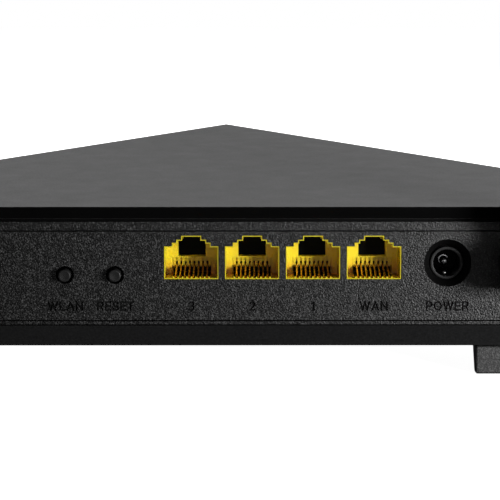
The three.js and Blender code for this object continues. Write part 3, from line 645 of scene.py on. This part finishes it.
def power_spring():
    """A bent leaf below the pin, drawn near-black as painted shade, with a domed rivet on its free end."""
    low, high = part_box("power_inlet_spring")
    line = [(low.y + 0.1 * MM, low.z + 0.25 * MM), (low.y + 1.2 * MM, low.z + 0.95 * MM),
            (low.y + 2.4 * MM, high.z - 0.15 * MM), (low.y + 3.6 * MM, high.z - 0.5 * MM),
            (high.y - 3 * MM, low.z + 0.2 * MM), (high.y, low.z + 0.2 * MM)]
    shape = bmesh.new()
    thick = 0.13 * MM
    rows = []
    for i, (y, z) in enumerate(line):
        inset = 0.35 * MM if i == 0 else 0
        rows.append([shape.verts.new((x, y, z + dz)) for dz in (-thick, thick)
                     for x in (low.x + inset, high.x - inset)])
    for a, b in zip(rows, rows[1:]):
        for i, j in ((0, 1), (1, 3), (3, 2), (2, 0)):
            shape.faces.new((a[i], a[j], b[j], b[i]))
    for end in (rows[0], rows[-1]):
        shape.faces.new([end[i] for i in (0, 1, 3, 2)])
    leaf_faces = len(shape.faces)
    # A pale rivet on the leaf, whose dark colour is painted shade.
    rivet = Vector((centre_of("power_inlet_spring").x - 0.2 * MM, 0, low.z + 0.5 * MM))
    turned(shape, rivet, [
        (0, low.y - 0.15 * MM), (0.25 * MM, low.y - 0.12 * MM), (0.4 * MM, low.y),
        (0.46 * MM, low.y + 0.15 * MM), (0.46 * MM, low.y + 0.5 * MM), (0, low.y + 0.5 * MM),
    ], sides=32)
    for face in list(shape.faces)[leaf_faces:]:
        face.material_index = 1
    piece("inlet_contact_spring", shape, (SHADE_BLACK, SPRING), "case", "steel", "power_inlet_spring", smooth=50)


# ---- Buttons -------------------------------------------------------------------------------------


def button(name):
    low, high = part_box(f"{name}_button_cap")
    centre = centre_of(f"{name}_button_cap")
    radius = 1.4 * MM
    flange = (high.x - low.x) / 2
    shape = bmesh.new()
    turned(shape, centre, [
        (0, low.y + 0.10 * MM), (0.7 * MM, low.y + 0.08 * MM), (1.0 * MM, low.y + 0.02 * MM),
        (1.18 * MM, low.y), (1.32 * MM, low.y + 0.06 * MM), (radius, low.y + 0.22 * MM),
        (radius, PANEL_BACK + 0.3 * MM), (flange, PANEL_BACK + 0.3 * MM),
        (flange, PANEL_BACK + 1.3 * MM), (radius, PANEL_BACK + 1.3 * MM), (radius, high.y), (0, high.y),
    ], sides=64)
    obj = piece(f"{name}_button", shape, (BUTTON, SHADE_BLACK), f"{name}_button", "button_grey",
                f"{name}_button_cap", smooth=35)
    # The flange and shaft behind the panel are near-black: painted shade behind the button hole.
    for face in obj.data.polygons:
        if face.center.y > PANEL_BACK:
            face.material_index = 1


# ---- Shells --------------------------------------------------------------------------------------


def shells():
    lid = refined("top_cover", (LID, UNDERCUT_SHADE, LIP_HIGHLIGHT), "lid_grey", 0.35 * MM, name="lid_shell", smooth=4)
    settle(lid)
    # Under the rear overhang the lid is painted near-black as shade, and the rounded lower edge of its slope
    # gets a paler painted highlight.
    rear = [face for face in lid.data.polygons
            if face.center.y < PANEL_FACE + 4 * MM and face.normal.y < -0.3]
    slope = min(face.normal.z for face in rear if face.area > 1e-4)
    for face in rear:
        if face.normal.z < slope - 0.05:
            face.material_index = 2
        elif face.normal.z < 0.06:
            face.material_index = 1
    refined("middle_housing", TEXTURED, "textured_black", 0.15 * MM, segments=2)
    refined("bottom_cover", SMOOTH, "smooth_black", 0.3 * MM)
    for side in SIDES:
        refined(f"rear_foot_{side}", FOOT, "foot_black", 0.5 * MM)
        refined(f"front_foot_{side}", FOOT, "foot_black", 0.5 * MM)


# ---- Aerials -------------------------------------------------------------------------------------


def aerials():
    for side in SIDES:
        refined(f"antenna_knuckle_{side}", AERIAL, "aerial_black", 0.3 * MM, segments=2)
        refined(f"antenna_arm_{side}", AERIAL, "aerial_black", 0.3 * MM, segments=2)
        refined(f"antenna_tip_{side}", AERIAL, "aerial_black", 0.4 * MM, segments=3)


# ---- Pieces whose CAD shape is kept ---------------------------------------------------------------


def plain_nodes():
    """CAD nodes that stay as they are and only get a better material."""
    looks = {
        STEEL: [f"case_screw_{i}" for i in (1, 2, 3, 4)] + [
            f"antenna_{part}_{side}" for part in ("retaining_ring", "hinge_pin") for side in SIDES],
        CHIP: ["processor_chip", "memory_chip", "flash_chip", "line_transformer_lan",
               "line_transformer_wan", "power_inductor"] + [
            f"{name}_switch_{part}" for name in BUTTONS for part in ("plunger", "body")],
        BOARD: ["circuit_board"] + [f"antenna_board_{side}" for side in SIDES],
        ALLOY: ["heat_sink", "radio_shield_left", "radio_shield_right"],
        SLEEVE: ["smoothing_capacitor"],
        CLEAR: ["status_lamp", "status_light_pipe"],
        JACKET: [f"antenna_lead_{side}" for side in SIDES],
    }
    for material, names in looks.items():
        for name in names:
            mesh = frame["nodes"][name].data
            mesh.materials.clear()
            mesh.materials.append(material)


# ---- Stage ---------------------------------------------------------------------------------------


def aimed(obj, target):
    obj.rotation_euler = (Vector(target) - obj.location).to_track_quat("-Z", "Y").to_euler()


def area_light(name, location, target, size, power):
    data = bpy.data.lights.new(name, "AREA")
    data.shape = "RECTANGLE"
    data.size, data.size_y = size
    data.energy = power
    light = bpy.data.objects.new(name, data)
    bpy.context.scene.collection.objects.link(light)
    light.location = location
    aimed(light, target)


FLOOR_GLOW = 0.97
ROOM_LIGHT = 0.04  # what the white world gives to everything but the camera


def stage():
    shape = bmesh.new()
    bmesh.ops.create_grid(shape, x_segments=1, y_segments=1, size=6)
    mesh = bpy.data.meshes.new("floor")
    shape.to_mesh(mesh)
    shape.free()
    floor = bpy.data.objects.new("floor", mesh)
    bpy.context.scene.collection.objects.link(floor)
    paint = Nodes("pale_floor", (0.86, 0.86, 0.86), 0.9, specular=0.1)
    paint.shader.inputs["Emission Color"].default_value = (1, 1, 1, 1)
    paint.shader.inputs["Emission Strength"].default_value = FLOOR_GLOW
    mesh.materials.append(paint.material)
    floor.visible_diffuse = False
    floor.visible_glossy = False

    world = bpy.data.worlds.new("studio")
    bpy.context.scene.world = world
    world.use_nodes = True
    tree = world.node_tree
    background = tree.nodes["Background"]
    background.inputs["Color"].default_value = (1, 1, 1, 1)
    path = tree.nodes.new("ShaderNodeLightPath")
    strength = tree.nodes.new("ShaderNodeMapRange")
    strength.inputs["To Min"].default_value = ROOM_LIGHT
    strength.inputs["To Max"].default_value = 1.0
    tree.links.new(path.outputs["Is Camera Ray"], strength.inputs["Value"])
    tree.links.new(strength.outputs["Result"], background.inputs["Strength"])

    target = (0.0, PANEL_FACE, 0.025)
    area_light("key", (0.275, PANEL_FACE - 0.275, 0.045), target, (0.12, 0.10), 1.78)
    area_light("top", (0.0, 0.9, 1.1), (0, 0.05, 0.04), (1.2, 1.2), 6.2)
    area_light("fill", (0.12, PANEL_FACE - 0.9, 0.06), target, (0.4, 0.1), 0.24)
    for side in (-1, 1):
        area_light(f"front_{side}", (side * 0.8, 0.9, 0.35), (0, 0.02, 0.03), (0.6, 0.6), 9)


CAMERA = {"x": 5.54 * MM, "distance": 454.6 * MM, "height": 85.5 * MM, "lens": 144.0,
          "pitch": 7.032, "yaw": 0.13}


def camera():
    data = bpy.data.cameras.new("camera")
    data.lens = CAMERA["lens"]
    data.sensor_width = 36
    data.clip_start = 0.01
    obj = bpy.data.objects.new("camera", data)
    bpy.context.scene.collection.objects.link(obj)
    obj.location = (CAMERA["x"], PANEL_FACE - CAMERA["distance"], CAMERA["height"])
    obj.rotation_euler = (math.radians(90 - CAMERA["pitch"]), 0, math.radians(-CAMERA["yaw"]))
    bpy.context.scene.camera = obj


# ---- Assembly ------------------------------------------------------------------------------------

port_panel()
for socket in SOCKETS:
    socket_housing(socket)
    socket_wires(socket)
power_inlet()
power_pin()
power_spring()
for button_name in BUTTONS:
    button(button_name)
shells()
aerials()
plain_nodes()
stage()
camera()
bpy.context.scene.view_settings.view_transform = "Standard"
